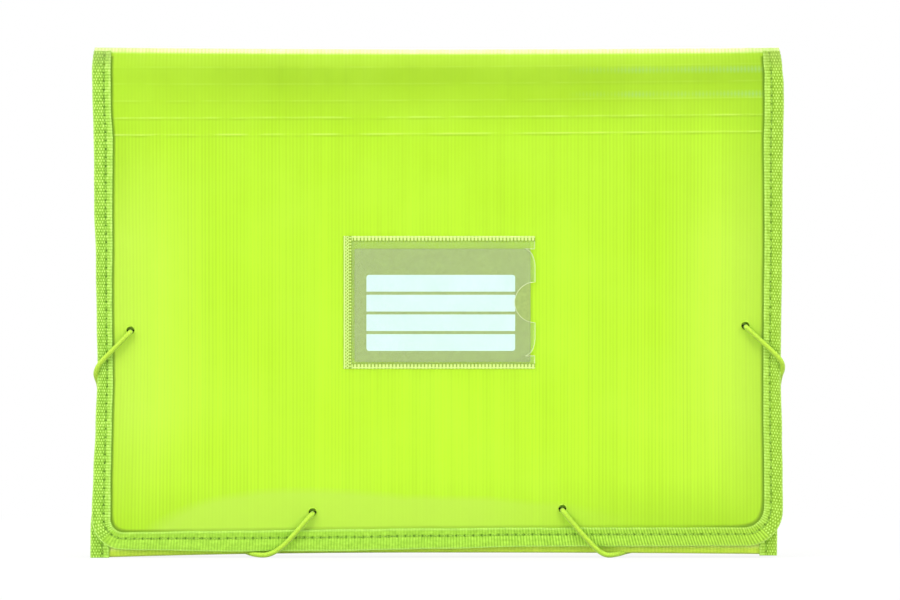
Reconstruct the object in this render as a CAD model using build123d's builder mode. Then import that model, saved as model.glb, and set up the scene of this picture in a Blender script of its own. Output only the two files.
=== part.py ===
from build123d import *
import math
import os

os.makedirs("parts", exist_ok=True)

# Millimetres, +Z up. The file stands closed on its bottom edge, with the flap to the front, -Y.
# The origin is on the floor, under the middle of the file.

# Outer size, over the binding tape
body_width = 330.0
body_height = 243.0

# Sheets, film and tape
cover_sheet = 0.8
divider_sheet = 0.4
gusset_film = 0.2
tape = 0.5
side_tape_width = 9.0

# Clearances
running_gap = 0.3
film_gap = 0.15

# Pockets
pocket_count = 13
pocket_gap = 1.4
divider_drop = 27.0
divider_bottom = 4.0
divider_inset = 2.5
gusset_inset = 2.0
gusset_depth = 14.0
gusset_drop = 5.0

# Front and back covers
front_drop = 37.0
sheet_bottom_middle = 2.9
sheet_bottom_side = 1.9

# Flap
flap_bottom = 5.0
flap_corner = 11.0
bottom_tape_width = 8.2
tape_inner_corner = 5.5
tape_setback = 2.6
score_pitch = 8.1
score_count = 5
score_width = 1.0
score_end_gap = 0.5
score_depth = 0.15
first_score = 7.3

# Index tabs, in staggered places along the top of the dividers
tab_width = 44.0
tab_rise = 12.0
tab_overlap = 4.0
tab_thickness = 0.9
tab_place_count = 6
tab_end_margin = 20.5
tab_corner = 2.0
insert_slot = 0.3
insert_slot_height = 9.0
insert_paper = 0.2
insert_margin = 0.5

# Label pocket welded on the flap, open on its right
pocket_left = -44.4
pocket_right = 46.8
pocket_bottom = 90.3
pocket_top = 153.8
pocket_film = 0.25
pocket_room = 0.5
side_weld = 4.3
edge_weld = 2.6
thumb_notch_radius = 9.7
mouth_recess = 4.8
mouth_corner_height = 8.1
card_width = 84.0
card_height = 54.0
card_thickness = 0.3
card_left_gap = 0.7
card_bottom_gap = 0.8

# Elastics. The inset of each hole, and of each place where they cross the bottom, is from the side
cord = 2.2
cord_gap = 0.1
hole_diameter = 4.0
side_hole_inset = 17.7
side_hole_up = 110.0
bottom_hole_inset = 105.3
bottom_hole_up = 22.4
side_edge_front = 87.4
side_edge_back = 49.5
bottom_edge_front_inset = 80.5
bottom_edge_back_inset = 45.5
edge_radius = 3.0
exit_radius = 2.2
tip_length = 12.0
tip_width = 2.6
tip_thickness = 0.9

# The stack from the back, y falling towards the front
half_width = body_width / 2
sheet_half = half_width - tape
bound = cover_sheet + 2 * tape
divider_count = pocket_count - 1
pocket_pitch = pocket_gap + divider_sheet
bellows_depth = pocket_count * pocket_gap + divider_count * divider_sheet
stack_depth = bellows_depth + 3 * bound + running_gap
back_face = stack_depth / 2 - tape
back_inner = back_face - cover_sheet
bellows_back = back_inner - tape
bellows_front = bellows_back - bellows_depth
front_inner = bellows_front - tape
front_face = front_inner - cover_sheet
flap_inner = front_face - 2 * tape - running_gap
flap_face = flap_inner - cover_sheet
fold_top = body_height - tape
back_top = fold_top - cover_sheet - running_gap
divider_top = body_height - divider_drop
gusset_top = divider_top - gusset_drop
front_top = body_height - front_drop

# Across the file
divider_half = half_width - divider_inset
gusset_outer = half_width - gusset_inset
gusset_crease = gusset_outer - gusset_depth
floor_half = gusset_crease - gusset_film - running_gap
window_half = half_width - side_tape_width
side_hole = half_width - side_hole_inset
bottom_hole = half_width - bottom_hole_inset
tab_span = 2 * (divider_half - tab_end_margin) - tab_width
tab_place_pitch = tab_span / (tab_place_count - 1)


def wall(y):
    """The upright plane at depth y. A sketch on it has X across and Z up, and extrudes to the front."""
    return Plane.XZ.offset(-y)


def divider_back(number):
    """The back face of a divider, counted from the back."""
    return bellows_back - pocket_gap - (number - 1) * pocket_pitch


def save(part, node):
    part.label = node
    export_step(part, f"parts/{node}.step")


def cover_outline(top):
    """A cover sheet's outline, with a slightly bowed bottom edge."""
    with BuildSketch() as outline:
        with BuildLine():
            bottom = ThreePointArc(
                (-sheet_half, sheet_bottom_side),
                (0, sheet_bottom_middle),
                (sheet_half, sheet_bottom_side),
            )
            Polyline(bottom @ 1, (sheet_half, top), (-sheet_half, top), bottom @ 0)
        make_face()
    return outline.sketch


def cover_panel(back, top, floor_length):
    """A cover sheet, with a pocket floor where it has one."""
    with BuildPart() as panel:
        with BuildSketch(wall(back)):
            add(cover_outline(top))
        extrude(amount=cover_sheet)
        if floor_length:
            with BuildSketch(wall(back - cover_sheet)):
                with Locations((0, divider_bottom + divider_sheet / 2)):
                    Rectangle(2 * floor_half, divider_sheet)
            extrude(amount=floor_length)
    return panel.part


def side_binding(side, back, top):
    """A folded tape over one upright edge of a cover sheet, down to the floor."""
    with BuildPart() as binding:
        with BuildSketch(wall(back + tape)):
            with Locations((side * (half_width + window_half) / 2, top / 2)):
                Rectangle(side_tape_width, top)
        extrude(amount=bound)
        with BuildSketch(wall(back)):
            add(cover_outline(top))
        extrude(amount=cover_sheet, mode=Mode.SUBTRACT)
    return binding.part


# The back cover stands at the back and carries the floor of the first pocket.
back_floor = back_inner - divider_back(1) - running_gap
save(cover_panel(back_face, back_top, back_floor), "back_panel")
save(cover_panel(front_inner, front_top, 0), "front_panel")

back_tape_top = fold_top - tape_setback
for side, word in ((-1, "left"), (1, "right")):
    save(side_binding(side, back_face, back_tape_top), f"back_binding_{word}")
    save(side_binding(side, front_inner, front_top), f"front_binding_{word}")

# The top strip joins the back to the flap. Its folds lie on the outer faces of the sheets.
spine_front = flap_inner + running_gap
with BuildPart() as spine_panel:
    with BuildSketch(Plane.XY.offset(fold_top - cover_sheet)):
        with Locations((0, (back_face + spine_front) / 2)):
            Rectangle(2 * sheet_half, back_face - spine_front)
    extrude(amount=cover_sheet)
save(spine_panel.part, "spine_panel")

spine_tape_back = back_face - tape_setback
spine_tape_front = flap_face + tape_setback
with BuildPart() as spine_binding:
    with BuildSketch(Plane.XY.offset(fold_top - cover_sheet - tape)):
        with Locations((0, (spine_tape_back + spine_tape_front) / 2)):
            Rectangle(2 * half_width, spine_tape_back - spine_tape_front)
            Rectangle(2 * window_half, spine_tape_back - spine_tape_front, mode=Mode.SUBTRACT)
    extrude(amount=bound)
    with BuildSketch(Plane.XY.offset(fold_top - cover_sheet)):
        with Locations((0, (spine_tape_back + spine_tape_front) / 2)):
            Rectangle(2 * sheet_half, spine_tape_back - spine_tape_front)
    extrude(amount=cover_sheet, mode=Mode.SUBTRACT)
save(spine_binding.part, "spine_binding")

# The flap hangs in front, with scored lines near its top and four holes for the elastics.
elastic_holes = []
for side in (-1, 1):
    for across, up in ((side_hole, side_hole_up), (bottom_hole, bottom_hole_up)):
        elastic_holes.append((side * across, up))

sheet_low = flap_bottom + tape
with BuildPart() as flap_panel:
    with BuildSketch(wall(flap_inner)) as outline:
        with Locations((0, (sheet_low + fold_top) / 2)):
            Rectangle(2 * sheet_half, fold_top - sheet_low)
        fillet(outline.vertices().sort_by(Axis.Y)[:2], flap_corner - tape)
        with Locations(*elastic_holes):
            Circle(hole_diameter / 2, mode=Mode.SUBTRACT)
    extrude(amount=cover_sheet)
    with BuildSketch(wall(flap_face + score_depth)):
        for score in range(score_count):
            with Locations((0, fold_top - first_score - score * score_pitch)):
                Rectangle(2 * (window_half - score_end_gap), score_width)
    extrude(amount=score_depth, mode=Mode.SUBTRACT)
save(flap_panel.part, "flap_panel")

flap_tape_top = fold_top - tape_setback
window_low = flap_bottom + bottom_tape_width
with BuildPart() as flap_binding:
    with BuildSketch(wall(flap_inner + tape)) as rim:
        with Locations((0, (flap_bottom + flap_tape_top) / 2)):
            Rectangle(2 * half_width, flap_tape_top - flap_bottom)
        fillet(rim.vertices().sort_by(Axis.Y)[:2], flap_corner)
        with BuildSketch(mode=Mode.SUBTRACT) as window:
            with Locations((0, (window_low + flap_tape_top) / 2)):
                Rectangle(2 * window_half, flap_tape_top - window_low)
            fillet(window.vertices().sort_by(Axis.Y)[:2], tape_inner_corner)
    extrude(amount=bound)
    with BuildSketch(wall(flap_inner)) as slot:
        with Locations((0, (sheet_low + flap_tape_top) / 2)):
            Rectangle(2 * sheet_half, flap_tape_top - sheet_low)
        fillet(slot.vertices().sort_by(Axis.Y)[:2], flap_corner - tape)
    extrude(amount=cover_sheet, mode=Mode.SUBTRACT)
save(flap_binding.part, "flap_binding")

# Each divider carries the floor of the pocket in front of it, a clear tab and the tab's paper.
for number in range(1, divider_count + 1):
    back = divider_back(number)
    front = back - divider_sheet
    next_sheet = divider_back(number + 1) if number < divider_count else front_inner
    with BuildPart() as divider:
        with BuildSketch(wall(back)):
            with Locations((0, (divider_bottom + divider_top) / 2)):
                Rectangle(2 * divider_half, divider_top - divider_bottom)
        extrude(amount=divider_sheet)
        with BuildSketch(wall(front)):
            with Locations((0, divider_bottom + divider_sheet / 2)):
                Rectangle(2 * floor_half, divider_sheet)
        extrude(amount=front - next_sheet - running_gap)
    save(divider.part, f"divider_{number:02d}")

    place = (number - 1) % tab_place_count - (tab_place_count - 1) / 2
    tab_x = place * tab_place_pitch
    slot_middle = divider_top + tab_rise / 2
    with BuildPart() as index_tab:
        with BuildSketch(wall(front)) as face:
            with Locations((tab_x, divider_top + (tab_rise - tab_overlap) / 2)):
                Rectangle(tab_width, tab_rise + tab_overlap)
            fillet(face.vertices().sort_by(Axis.Y)[2:], tab_corner)
        extrude(amount=tab_thickness)
        with BuildSketch(wall(front - (tab_thickness - insert_slot) / 2)):
            with Locations((tab_x, slot_middle)):
                Rectangle(tab_width, insert_slot_height)
        extrude(amount=insert_slot, mode=Mode.SUBTRACT)
    save(index_tab.part, f"index_tab_{number:02d}")

    with BuildPart() as tab_insert:
        with BuildSketch(wall(front - (tab_thickness - insert_paper) / 2)):
            with Locations((tab_x, slot_middle)):
                Rectangle(tab_width - 2 * insert_margin, insert_slot_height - 2 * insert_margin)
        extrude(amount=insert_paper)
    save(tab_insert.part, f"tab_insert_{number:02d}")


def gusset(side):
    """One pleated side. In each pocket two leaves fold inwards, and meet at a crease."""
    with BuildPart() as pleats:
        with BuildSketch(Plane.XY.offset(divider_bottom + divider_sheet)):
            for pocket in range(1, pocket_count + 1):
                high = bellows_back - (pocket - 1) * pocket_pitch
                low = high - pocket_gap
                middle = (high + low) / 2
                for edge, sign in ((high, 1), (low, -1)):
                    outer = edge - sign * film_gap
                    inner = middle + sign * (gusset_film + film_gap / 2)
                    Polygon(
                        (side * gusset_outer, outer),
                        (side * gusset_crease, inner),
                        (side * gusset_crease, inner - sign * gusset_film),
                        (side * gusset_outer, outer - sign * gusset_film),
                        align=None,
                    )
                with Locations((side * (gusset_crease + gusset_film / 2), middle)):
                    Rectangle(gusset_film, 2 * gusset_film + film_gap)
                if pocket < pocket_count:
                    with Locations((side * (gusset_outer - gusset_film / 2), low - divider_sheet / 2)):
                        Rectangle(gusset_film, divider_sheet + 2 * (film_gap + gusset_film))
        extrude(amount=gusset_top - divider_bottom - divider_sheet)
    return pleats.part


save(gusset(-1), "left_gusset")
save(gusset(1), "right_gusset")

# The clear label pocket: a weld on three sides holds a film off the flap, and a card slides in.
pocket_width = pocket_right - pocket_left
pocket_height = pocket_top - pocket_bottom
pocket_middle = (pocket_bottom + pocket_top) / 2
with BuildPart() as label_pocket:
    with BuildSketch(wall(flap_face)):
        with Locations(((pocket_left + pocket_right) / 2, pocket_middle)):
            Rectangle(pocket_width, pocket_height)
        with Locations((pocket_left + side_weld + pocket_width / 2, pocket_middle)):
            Rectangle(pocket_width, pocket_height - 2 * edge_weld, mode=Mode.SUBTRACT)
    extrude(amount=pocket_room)
    with BuildSketch(wall(flap_face - pocket_room)):
        with Locations(((pocket_left + pocket_right) / 2, pocket_middle)):
            Rectangle(pocket_width, pocket_height)
        with Locations((pocket_right, pocket_middle)):
            Circle(thumb_notch_radius, mode=Mode.SUBTRACT)
        for up in (-1, 1):
            edge = pocket_middle + up * (pocket_height / 2 - edge_weld)
            corner = (pocket_right - mouth_recess, edge - up * mouth_recess / 2)
            with BuildLine():
                bow = SagittaArc(
                    (pocket_right, edge - up * (mouth_recess / 2 + mouth_corner_height)),
                    corner,
                    -up * mouth_recess / 4,
                )
                Polyline(bow @ 1, (corner[0], edge), (pocket_right, edge), bow @ 0)
            make_face(mode=Mode.SUBTRACT)
    extrude(amount=pocket_film)
save(label_pocket.part, "label_pocket")

card_left = pocket_left + side_weld + card_left_gap
card_low = pocket_bottom + edge_weld + card_bottom_gap
with BuildPart() as label_card:
    with BuildSketch(wall(flap_face - (pocket_room - card_thickness) / 2)):
        with Locations((card_left + card_width / 2, card_low + card_height / 2)):
            Rectangle(card_width, card_height)
    extrude(amount=card_thickness)
save(label_card.part, "label_card")


def elastic(side):
    """A cord from the side hole, round the edge, over a back corner, under the bottom, to the other."""
    out = stack_depth / 2 + cord_gap + cord / 2
    beside = half_width + cord_gap + cord / 2
    under = cord_gap / 2 + cord / 2
    points = [
        (side * side_hole, flap_inner, side_hole_up),
        (side * side_hole, -out, side_hole_up),
        (side * beside, -out, side_edge_front),
        (side * beside, out, side_edge_back),
        (side * (half_width - bottom_edge_back_inset), out, under),
        (side * (half_width - bottom_edge_front_inset), -out, under),
        (side * bottom_hole, -out, bottom_hole_up),
        (side * bottom_hole, flap_inner, bottom_hole_up),
    ]
    radii = [exit_radius] + [edge_radius] * 4 + [exit_radius]
    with BuildPart() as loop:
        with BuildLine():
            route = FilletPolyline(*points, radius=radii)
        with BuildSketch(route ^ 0):
            Circle(cord / 2)
        sweep()
    length = sum(edge.length for edge in route.edges())
    area = math.pi * cord**2 / 4
    print(f"elastic {side}: length {length:.1f}, radii {radii}")
    print(f"  volume {loop.part.volume:.2f}, section times length {area * length:.2f}")
    return loop.part


save(elastic(-1), "left_elastic")
save(elastic(1), "right_elastic")

# A flat crimped bar on each end of the elastics lies behind the flap and can't pass its hole.
with BuildPart() as elastic_tips:
    with BuildSketch(wall(flap_inner + tip_thickness)):
        with Locations(*elastic_holes):
            SlotOverall(tip_length, tip_width)
    extrude(amount=tip_thickness)
save(elastic_tips.part, "elastic_tips")
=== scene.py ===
import math
import random
from bisect import bisect_left

import bmesh
import bpy
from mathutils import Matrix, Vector, noise


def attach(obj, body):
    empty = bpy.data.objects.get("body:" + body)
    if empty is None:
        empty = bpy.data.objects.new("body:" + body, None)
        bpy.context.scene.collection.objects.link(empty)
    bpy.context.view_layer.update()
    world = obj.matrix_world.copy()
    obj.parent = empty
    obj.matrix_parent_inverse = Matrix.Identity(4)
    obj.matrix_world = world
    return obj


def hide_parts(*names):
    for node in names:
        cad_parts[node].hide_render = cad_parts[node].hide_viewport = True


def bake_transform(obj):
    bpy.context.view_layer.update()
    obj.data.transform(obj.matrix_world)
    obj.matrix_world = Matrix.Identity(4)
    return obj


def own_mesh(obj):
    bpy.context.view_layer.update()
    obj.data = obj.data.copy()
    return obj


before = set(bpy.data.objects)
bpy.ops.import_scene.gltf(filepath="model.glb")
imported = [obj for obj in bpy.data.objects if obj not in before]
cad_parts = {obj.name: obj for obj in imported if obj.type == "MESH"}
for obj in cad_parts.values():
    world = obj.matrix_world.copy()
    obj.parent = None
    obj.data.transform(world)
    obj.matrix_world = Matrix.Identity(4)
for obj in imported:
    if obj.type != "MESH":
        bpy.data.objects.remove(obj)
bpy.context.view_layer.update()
random.seed(12)

# Sizes are in millimetres, as in the part's source. MM turns them into metres.
MM = 0.001
SIDE_WORDS = {-1: "left", 1: "right"}

# The photograph's frame and the camera's distance
IMAGE_WIDTH = 900
IMAGE_MIDDLE_X = 6.2
IMAGE_MIDDLE_Z = 123.2
MM_PER_PIXEL = 0.4776
CAMERA_DISTANCE = 3000.0
SENSOR = 36.0

# Sheets and tapes of the covers. Some edges differ on the left (-1) and on the right (1)
HALF_WIDTH = 165.0
SHEET = 0.8
TAPE = 0.5
TAPE_WIDTH = 9.0
SHEET_HALF = HALF_WIDTH - TAPE
WINDOW_HALF = HALF_WIDTH - TAPE_WIDTH
BACK_FACE = 13.85
FLAP_FACE = -BACK_FACE
FRONT_FACE = -11.75
FRONT_TOP = 206.0
SHEET_LOW_MIDDLE = 2.5
SHEET_LOW = {-1: 0.0, 1: 1.7}
COVER_TAPE_LOW = {-1: 0.0, 1: 1.1}
# How high the rows of a sheet's lower part lie, as shares of the way to its upper part
LOWER_ROWS = [0.0, 0.004, 0.02] + [number / 12 for number in range(1, 12)]
# The back sheet's low edge is dented where the elastics go under it
CORD_DENT_X = 111.0
CORD_DENT_HALF = 6.0
CORD_DENT = 1.7

# Folds at the top, and the strip between them
FOLD_TOP = 243.9
FOLD_RADIUS = 3.4
FOLD_START = FOLD_TOP - FOLD_RADIUS
FOLD_STEPS = 10
FOLD_SAG = 0.9
SAG_START = 180.0
SPINE_STEP = 1.5
SPINE_DIP = 1.7
SPINE_TAPE_HALF = 8.4

# Flap. The corners of its tape are rounder on the right
FLAP_CORNER = {-1: 14.5, 1: 17.0}
WINDOW_CORNER = {-1: 6.2, 1: 9.5}
# A smooth minimum this many times as wide as a radius goes round a corner like the radius
ROUNDING = 1.76
ELASTIC_HOLES = ((-146.4, 108.7), (147.3, 110.9), (-59.4, 21.9), (59.9, 23.5))
HOLE_RADIUS = 2.0
LIP = 0.22
LIP_STEPS = 36
LIP_SIDES = 8

# Score lines are raised creases, uneven along their run. They rise to the right by LINE_TILT
# at each side, and the bands between them lean in and out by BAND_LEAN at the lines
SCORE_LINES = (235.2, 227.1, 219.0, 210.9, 202.8)
SCORE_DEPTHS = (0.12, 0.13, 0.2, 0.5, 0.6)
LINE_TILT = 0.95
BAND_LEAN = (0.22, -0.16, 0.10, -0.12, 0.0)
CREASE_HEIGHT = 0.3
CREASE_HALF = 0.65
CREASE_BREAK = 0.5
CREASE_ROWS = (-1.6, -0.85, -0.45, -0.2, 0.0, 0.2, 0.45, 0.85)

# Ribs pressed in the sheet, seen as fine upright lines. Low on the left they are pressed flat,
# in two overlapping ovals, each with its middle and half size
RIB_PITCH = 1.68
RIB_HEIGHT = 0.09
RIB_SAMPLES = 4
RIB_COUNT = int(2 * SHEET_HALF / RIB_PITCH) + 2
PRESSED_FLAT = (((-58.0, 8.0), (86.0, 29.0)), ((0.0, 7.0), (118.0, 26.0)))

# Sewing. A cover's tape runs TAPE_TURN round the fold before it is cut off
STITCH_PITCH = 4.05
STITCH_INSET = 5.7
STITCH_RADIUS = 0.24
STITCH_SHARE = 0.635
DIMPLE_DEPTH = 0.45
DIMPLE_WIDTH = 0.65
THREAD_SIDES = 6
THREAD_RINGS = 5
TAPE_STEP = 0.5
FRONT_TAPE_STEP = 1.0
TAPE_TURN = math.radians(24.0)
TAPE_TURN_STEPS = 6

# Pockets between the covers: dividers, floors and side pleats
POCKETS = 13
DIVIDERS = POCKETS - 1
POCKET_GAP = 1.4
DIVIDER = 0.4
POCKET_PITCH = POCKET_GAP + DIVIDER
DIVIDER_HALF = 162.5
DIVIDER_LOW = 4.0
DIVIDER_HIGH = 216.0
SHEET_GAP = 0.3
FLOOR_HALF = 148.5
FLOOR_HEIGHT = 4.2
BELLOWS_BACK = 12.55
GUSSET_OUTER = 163.0
GUSSET_CREASE = 149.2
GUSSET_LOW = 4.4
GUSSET_HIGH = 211.0
FILM = 0.2
FILM_GAP = 0.15
PLEAT_ROWS = 30
PLEAT_SHARES = (0.0, 0.25, 0.5, 0.75, 0.93)

# Elastics, and the crimped tips on their ends
CORD = 2.4
TIP_LENGTH = 12.0
TIP_WIDTH = 2.6
TIP_BACK = -12.2
TIP_FRONT = -13.0
TIP_WAIST = 0.45
TIP_SIDES = 12

# Label pocket: its film, the welds that hold it and the dull film behind the card
POCKET_LEFT = -44.7
POCKET_RIGHT = 46.8
POCKET_LOW = 90.3
POCKET_HIGH = 153.8
FILM_BACK = -14.35
FILM_FRONT = -14.6
NOTCH_RADIUS = 9.7
NOTCH_STEPS = 20
MOUTH_RECESS = 4.8
MOUTH_CORNER = 8.6
MOUTH_LEDGE = 3.6
MOUTH_STEPS = 8
BEAD = 0.17
BEAD_SIDES = 6
SIDE_WELD = 3.9
EDGE_WELD = 2.6
WELD_STEP = 0.22
WELD_BASE = 0.3
WELD_TOOTH = 0.28
WELD_DEPTH = 0.45
TOOTH_PITCH = 1.7
ZIGZAG_PITCH = 1.5
BACKING_LOW = (-42.0, 91.6)
BACKING_HIGH = (44.6, 152.4)
BACKING_BACK = -13.9
BACKING_FRONT = -13.93

# Card, its white rows, and the track over the flap (left, right, low and high) that it sinks in
CARD_LOW = (-39.4, 93.7)
CARD_HIGH = (44.6, 147.7)
CARD_BACK = -13.95
CARD_FRONT = -14.25
ROW_LEFT = -33.7
ROW_RIGHT = 37.3
ROWS = ((127.2, 135.2), (117.7, 125.7), (108.4, 116.3), (98.9, 106.9))
ROW_RELIEF = 0.02
ROW_CORNER = 1.3
CARD_TRACK = (-46.0, 136.0, 90.0, 152.0)
TRACK_SINK = 0.25
TRACK_FADE = 16.0

# Fineness of the sheet's marks. The real die lines are finer than a pixel, so the narrow
# ones are drawn 1.3 mm wide
STREAK_WIDTH = 1.3
WIDE_STREAK = 4.5
STREAK_LENGTH = 240.0
MOTTLE = 45.0
GRAIN = 0.6
SHOW_THROUGH_BANDS = (233.6, 221.8)
SHOW_THROUGH_LENGTH = 60.0
SHOW_THROUGH_WIDTH = 2.2
# The tape's weave: the spacing of its rows, their mean level, and the size of its fuzz
WEAVE_PITCH = 1.39
YARN_MEAN = 0.5
FUZZ = 1.3
# The sizes of other finishes
THREAD_PLY = 0.7
BRAID = 0.8
FILM_CLOUD = 20.0
PAPER_FIBRE = 1.5
PAINT_GRAIN = 2.5

# Studio
WORLD_LEVEL = 0.42
STUDIO_HALF = 12000.0
FLOOR_WHITE_SHARE = 0.88
SHADOW_REACH = (250.0, 600.0)

# The map that holds each point's place on its flat sheet or tape, in metres
RUN_MAP = "run"
# The map that holds how far each point of the flap is inside its tape
EDGE_MAP = "edge"


def linear(code):
    """An sRGB hex colour as linear red, green, blue and alpha."""
    shares = [int(code[at : at + 2], 16) / 255 for at in (1, 3, 5)]
    curve = [s / 12.92 if s <= 0.04045 else ((s + 0.055) / 1.055) ** 2.4 for s in shares]
    return (*curve, 1.0)


def add_node(tree, kind, inputs, out=0, **settings):
    """Adds a node with its settings, and gives one of its outputs, or all of them for None. An
    input is a plain value, or the output that feeds it."""
    made = tree.nodes.new("ShaderNode" + kind)
    for name, value in settings.items():
        setattr(made, name, value)
    for socket, value in inputs.items():
        if isinstance(value, bpy.types.NodeSocket):
            tree.links.new(value, made.inputs[socket])
        else:
            made.inputs[socket].default_value = value
    return made.outputs if out is None else made.outputs[out]


def new_material(name, map_name=None):
    """An empty material, its node tree, and the place on the piece, by a map or by the piece's
    own coordinates."""
    material = bpy.data.materials.new(name)
    material.use_nodes = True
    tree = material.node_tree
    tree.nodes.clear()
    if map_name:
        return material, tree, add_node(tree, "UVMap", {}, uv_map=map_name)
    return material, tree, add_node(tree, "TexCoord", {}, "Object")


def finished(material, colour, roughness, reliefs=(), through=0.0, ior=1.5, **more):
    """The material with its skin. Each relief is a height, its strength and its depth, through
    is the share of light that goes through, and more holds other inputs of the skin."""
    tree = material.node_tree
    skin = {"Base Color": colour, "Roughness": roughness, "IOR": ior}
    skin.update({name.replace("_", " "): value for name, value in more.items()})
    for height, strength, depth in reliefs:
        relief = {"Height": height, "Strength": strength, "Distance": depth * MM}
        if "Normal" in skin:
            relief["Normal"] = skin["Normal"]
        skin["Normal"] = add_node(tree, "Bump", relief)
    surface = add_node(tree, "BsdfPrincipled", skin)
    if through:
        glow = add_node(tree, "BsdfTranslucent", {"Color": colour})
        surface = add_node(tree, "MixShader", {0: through, 1: surface, 2: glow})
    add_node(tree, "OutputMaterial", {"Surface": surface}, None)
    return material


def graded(tree, value, *stops):
    """Goes through the colours of stops, each a value and a hex colour, as a value does."""
    low, high = stops[0][0], stops[-1][0]
    share = add_node(tree, "MapRange", {0: value, 1: low, 2: high})
    colour = add_node(tree, "ValToRGB", {0: share})
    elements = colour.node.color_ramp.elements
    elements.remove(elements[1])
    for number, (at, code) in enumerate(stops):
        place = (at - low) / (high - low)
        element = elements.new(place) if number else elements[0]
        element.position = place
        element.color = linear(code)
    return colour


def painted(tree, colour, *coats):
    """Mixes plain colours over a colour, one after another, each by its share."""
    for share, code in coats:
        inputs = {0: share, 6: colour, 7: linear(code)}
        colour = add_node(tree, "Mix", inputs, 2, data_type="RGBA")
    return colour


def product(tree, share, *others):
    """Several shares or values, multiplied."""
    for other in others:
        share = add_node(tree, "Math", {0: share, 1: other}, operation="MULTIPLY")
    return share


def noise_share(tree, place, sizes, detail, low=0.0, high=1.0, most=1.0, least=0.0):
    """Noise stretched to sizes in millimetres, as a share from least to most."""
    scale = [1 / (size * MM) for size in sizes]
    spread = add_node(tree, "Mapping", {0: place, 3: scale})
    spots = add_node(tree, "TexNoise", {"Vector": spread, "Scale": 1.0, "Detail": detail})
    return add_node(tree, "MapRange", {0: spots, 1: low, 2: high, 3: least, 4: most})


def faded(tree, value, start, end, first=1.0, last=0.0):
    """A share that goes from first to last while a value goes from start to end."""
    inputs = {0: value, 1: start * MM, 2: end * MM, 3: first, 4: last}
    return add_node(tree, "MapRange", inputs)


def band_share(tree, value, middle, half, most, core=0.0, least=0.0):
    """A share that is most within core of the middle, and least from half the band's width on."""
    away = add_node(tree, "Math", {0: value, 1: middle * MM}, operation="SUBTRACT")
    far = add_node(tree, "Math", {0: away}, operation="ABSOLUTE")
    return faded(tree, far, half, core, least, most)


def flap_marks(tree, place, across, run, wave, colour):
    """Marks painted on the flap: painted shade along its tape, stronger on the right, and a thin
    painted shadow at the tape's inner edge; painted highlights along its sides and at its upper
    left; a paler patch where its ribs are pressed flat low on the left; a painted show-through of
    the clear tabs in bands at the top right; and a painted highlight and shade along each score
    line."""
    edges = add_node(tree, "UVMap", {}, uv_map=EDGE_MAP)
    from_side, from_low, unused = add_node(tree, "SeparateXYZ", {0: edges}, None)
    corners = [ROUNDING * WINDOW_CORNER[side] * MM for side in (-1, 1)]
    rounding = faded(tree, across, -10, 10, *corners)
    inputs = {0: from_side, 1: from_low, 2: rounding}
    near = add_node(tree, "Math", inputs, operation="SMOOTH_MIN")
    # Painted highlights along the sides of the flap, and at its upper left.
    side_highlight = band_share(tree, run, 112.0, 95.0, 0.4, 40.0)
    side_highlight = product(tree, side_highlight, faded(tree, from_side, 5, 50))
    shade = product(tree, faded(tree, near, 0, 24), faded(tree, across, 60, 140, 0.26, 0.48))
    upper_left_highlight = band_share(tree, run, 222.0, 20.0, 0.42, 13.0)
    upper_left_highlight = product(tree, upper_left_highlight, faded(tree, across, -155, -75))

    wander = noise_share(tree, place, (40, 40, 1), 2.0, most=5 * MM)
    bent = add_node(tree, "CombineXYZ", {0: 0.0, 1: wander, 2: 0.0})
    bent = add_node(tree, "VectorMath", {0: place, 1: bent})
    haze = 0.0
    for middle, size in PRESSED_FLAT:
        oval = {0: bent, 1: (*(at * MM for at in middle), 0.0), 3: (*(at * MM for at in size), 1.0)}
        patch = add_node(tree, "Mapping", oval, vector_type="TEXTURE")
        patch = add_node(tree, "TexGradient", {0: patch}, 1, gradient_type="SPHERICAL")
        patch = add_node(tree, "MapRange", {0: patch, 1: 0.0, 2: 0.12, 3: 0.0, 4: 0.75})
        haze = add_node(tree, "Math", {0: haze, 1: patch}, operation="MAXIMUM")
    haze = product(tree, haze, faded(tree, across, 20, 100))
    coats = [(side_highlight, "#E2FF69"), (shade, "#9CCC18"), (upper_left_highlight, "#BEEC2A"), (haze, "#C4EA4C")]

    # Bands at the top right are painted with a bluish tint of the clear tabs seen through the sheet.
    right = faded(tree, across, 60, 110, 0.0, 1.0)
    show_through = noise_share(tree, place, (SHOW_THROUGH_LENGTH / 3, SHOW_THROUGH_LENGTH, 1), 2.0, 0.25, 0.55)
    crests = add_node(tree, "MapRange", {0: wave, 1: -1.0, 2: 1.0, 3: 1.0, 4: 0.35})
    for middle in SHOW_THROUGH_BANDS:
        band = band_share(tree, run, middle, SHOW_THROUGH_WIDTH, 0.5)
        coats.append((product(tree, band, right, show_through, crests), "#A2D296"))

    inputs = {0: across, 1: -LINE_TILT / HALF_WIDTH, 2: run}
    slope = add_node(tree, "Math", inputs, operation="MULTIPLY_ADD")
    broken = noise_share(tree, place, (14, 3, 1), 2.0, 0.35, 0.6)
    # Each score line is painted with a highlight just above it and shade just below it, broken along
    # its run.
    for line, depth in zip(SCORE_LINES, SCORE_DEPTHS):
        for rise, strength, code in ((0.2, 0.8, "#E2FC7C"), (-0.7, 0.55, "#86B40C")):
            stroke = band_share(tree, slope, line + rise, CREASE_HALF, strength * depth)
            coats.append((product(tree, stroke, broken), code))

    # A thin painted shadow along the inner edge of the tape, stronger at the sides than along the
    # bottom, and stopping below the fold.
    tape_edge_shadow = product(tree, faded(tree, near, 0.5, 1.5), faded(tree, run, 239.4, 240.2))
    tape_edge_shadow = product(tree, tape_edge_shadow, faded(tree, from_side, 6, 40, 0.8, 0.25))
    return painted(tree, colour, *coats, (tape_edge_shadow, "#6C9406"))


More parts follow.
